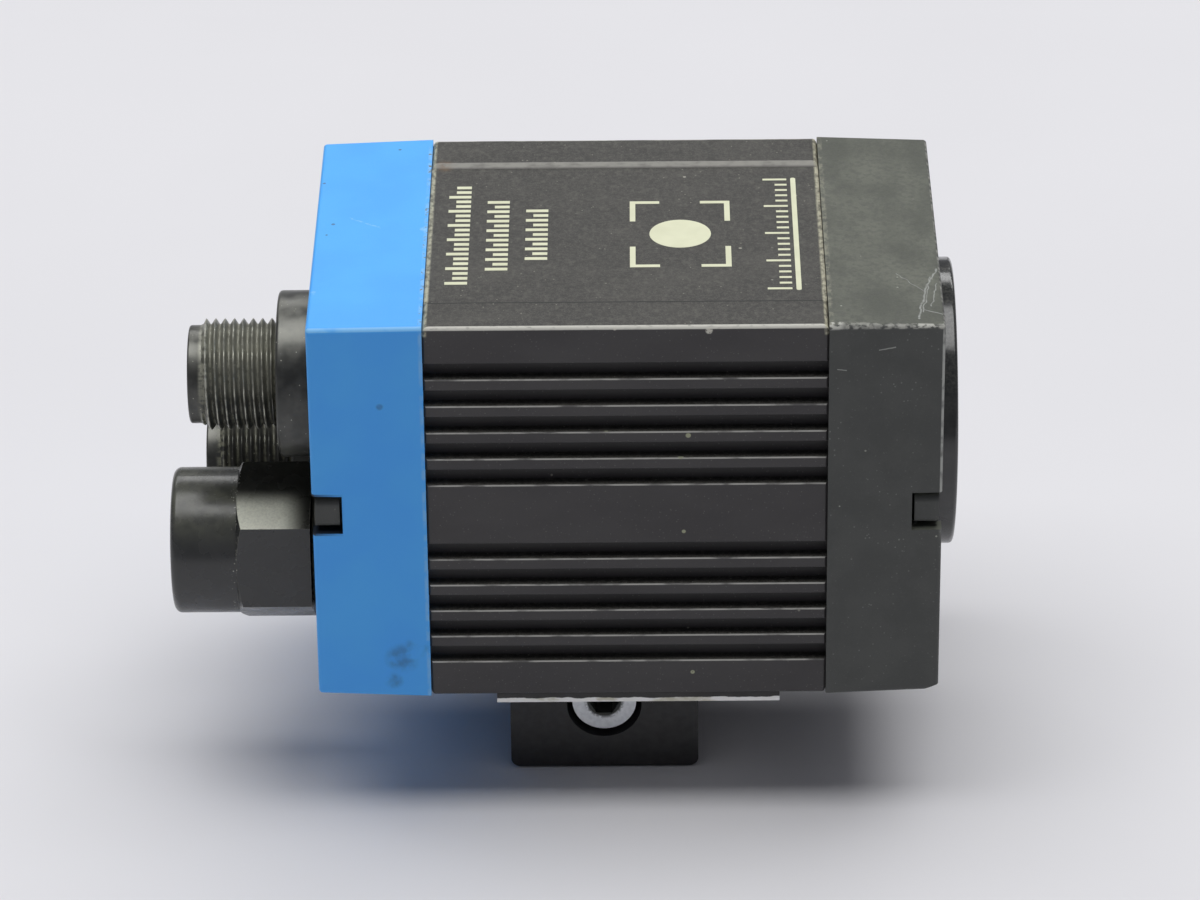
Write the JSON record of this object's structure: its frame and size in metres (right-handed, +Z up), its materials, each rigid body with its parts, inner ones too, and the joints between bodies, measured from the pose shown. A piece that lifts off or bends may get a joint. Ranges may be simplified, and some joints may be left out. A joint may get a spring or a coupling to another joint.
{
  "type": "machine vision camera",
  "caption": "Compact machine vision camera: ribbed housing with end covers, round window in front, threaded connectors behind and a dovetail clamp below.",
  "frame": {"origin": "middle of the clamp's mounting face, straight below the optical axis", "axes": "+X along the optical axis towards the window, +Z up, the clamp screw faces -Y"},
  "size_m": [0.0844, 0.045, 0.0597],
  "materials": {
    "black_anodised_aluminium": "satin black anodised, worn bright on its edges",
    "blue_plastic": "moulded blue plastic, fine satin",
    "black_plastic": "moulded black plastic, fine texture",
    "seal_rubber": "matte",
    "zinc_steel": "zinc plated",
    "clear_plastic": "clear moulded",
    "black_plated_brass": "black nickel plated, glossy",
    "insert_plastic": "moulded",
    "gold_contact": "gold plated",
    "gloss_black_plastic": "glossy black",
    "circuit_board": "green solder mask",
    "chip_ceramic": "matte",
    "window_glass": "clear polished",
    "spacer_brass": "turned",
    "flex_film": "amber film",
    "inner_aluminium": "black anodised, matte",
    "guide_steel": "ground",
    "led_resin": "clear resin",
    "black_anodised_clamp": "satin black anodised",
    "label_film": "white film, dirty at its edge"
  },
  "bodies": {
    "clamp": {"clamp_base": "black_anodised_clamp", "clamp_guide_pins": "guide_steel"},
    "camera": {"board_links": "insert_plastic", "board_screws": "zinc_steel", "board_spacers": "spacer_brass", "connector_board": "circuit_board", "focus_bracket": "inner_aluminium", "front_frame": "black_plastic", "front_gasket": "seal_rubber", "front_screws": "zinc_steel", "front_window": "window_glass", "guide_rods": "guide_steel", "image_sensor": "chip_ceramic", "led_board": "circuit_board", "led_emitters": "led_resin", "led_flex": "flex_film", "light_shield": "inner_aluminium", "main_housing": "black_anodised_aluminium", "network_connector_insert": "insert_plastic", "network_connector_nut": "black_plated_brass", "network_connector_pins": "gold_contact", "network_connector_seal": "seal_rubber", "network_connector_shell": "black_plated_brass", "processor_board": "circuit_board", "processor_chip": "chip_ceramic", "rear_frame": "blue_plastic", "rear_gasket": "seal_rubber", "rear_plate": "black_plastic", "rear_screws": "zinc_steel", "sensor_board": "circuit_board", "sensor_glass": "window_glass", "signal_connector_insert": "insert_plastic", "signal_connector_nut": "black_plated_brass", "signal_connector_pins": "gold_contact", "signal_connector_seal": "seal_rubber", "signal_connector_shell": "black_plated_brass", "spindle_seal": "seal_rubber", "status_light_pipe": "clear_plastic", "supply_connector_insert": "insert_plastic", "supply_connector_nut": "black_plated_brass", "supply_connector_pins": "gold_contact", "supply_connector_seal": "seal_rubber", "supply_connector_shell": "black_plated_brass", "underside_label": "label_film", "window_carrier": "black_plastic", "window_ring": "gloss_black_plastic", "window_seal": "seal_rubber"},
    "jaw": {"clamp_jaw": "black_anodised_clamp"},
    "jaw_screw": {"clamp_screw": "zinc_steel"},
    "cap_seal": {"cap_seal": "seal_rubber"},
    "cap": {"screw_cap": "gloss_black_plastic"},
    "focus_carriage": {"lens_carriage": "inner_aluminium", "lens_barrel": "inner_aluminium", "front_lens": "window_glass", "rear_lens": "window_glass"},
    "focus_spindle": {"focus_spindle": "spacer_brass"}
  },
  "joints": [
    {"name": "camera_slide", "type": "slide", "parent": "clamp", "child": "camera", "axis": [1, 0, 0], "range_m": [-0.013, 0.008]},
    {"name": "jaw_slide", "type": "slide", "parent": "clamp", "child": "jaw", "axis": [0, -1, 0], "range_m": [0, 0.001]},
    {"name": "jaw_screw_turn", "type": "hinge", "parent": "jaw", "child": "jaw_screw", "pos_m": [0, -0.0126, 0.0081], "axis": [0, -1, 0], "range_deg": [0, 515]},
    {"name": "cap_slide", "type": "slide", "parent": "camera", "child": "cap_seal", "axis": [-1, 0, 0], "range_m": [0, 0.008]},
    {"name": "cap_turn", "type": "hinge", "parent": "cap_seal", "child": "cap", "pos_m": [-0.0313, -0.0094, 0.02705], "axis": [-1, 0, 0], "range_deg": [0, 2881]},
    {"name": "focus_turn", "type": "hinge", "parent": "camera", "child": "focus_spindle", "pos_m": [-0.0303, 0.00975, 0.047], "axis": [-1, 0, 0], "range_deg": [-721, 721]},
    {"name": "focus_slide", "type": "slide", "parent": "camera", "child": "focus_carriage", "axis": [1, 0, 0], "range_m": [-0.001, 0.001]}
  ],
  "couplings": [
    {"joint": "jaw_screw_turn", "follows": "jaw_slide", "rad_per_m": 8976},
    {"joint": "cap_turn", "follows": "cap_slide", "rad_per_m": 6283.2},
    {"joint": "focus_turn", "follows": "focus_slide", "rad_per_m": 12566}
  ]
}
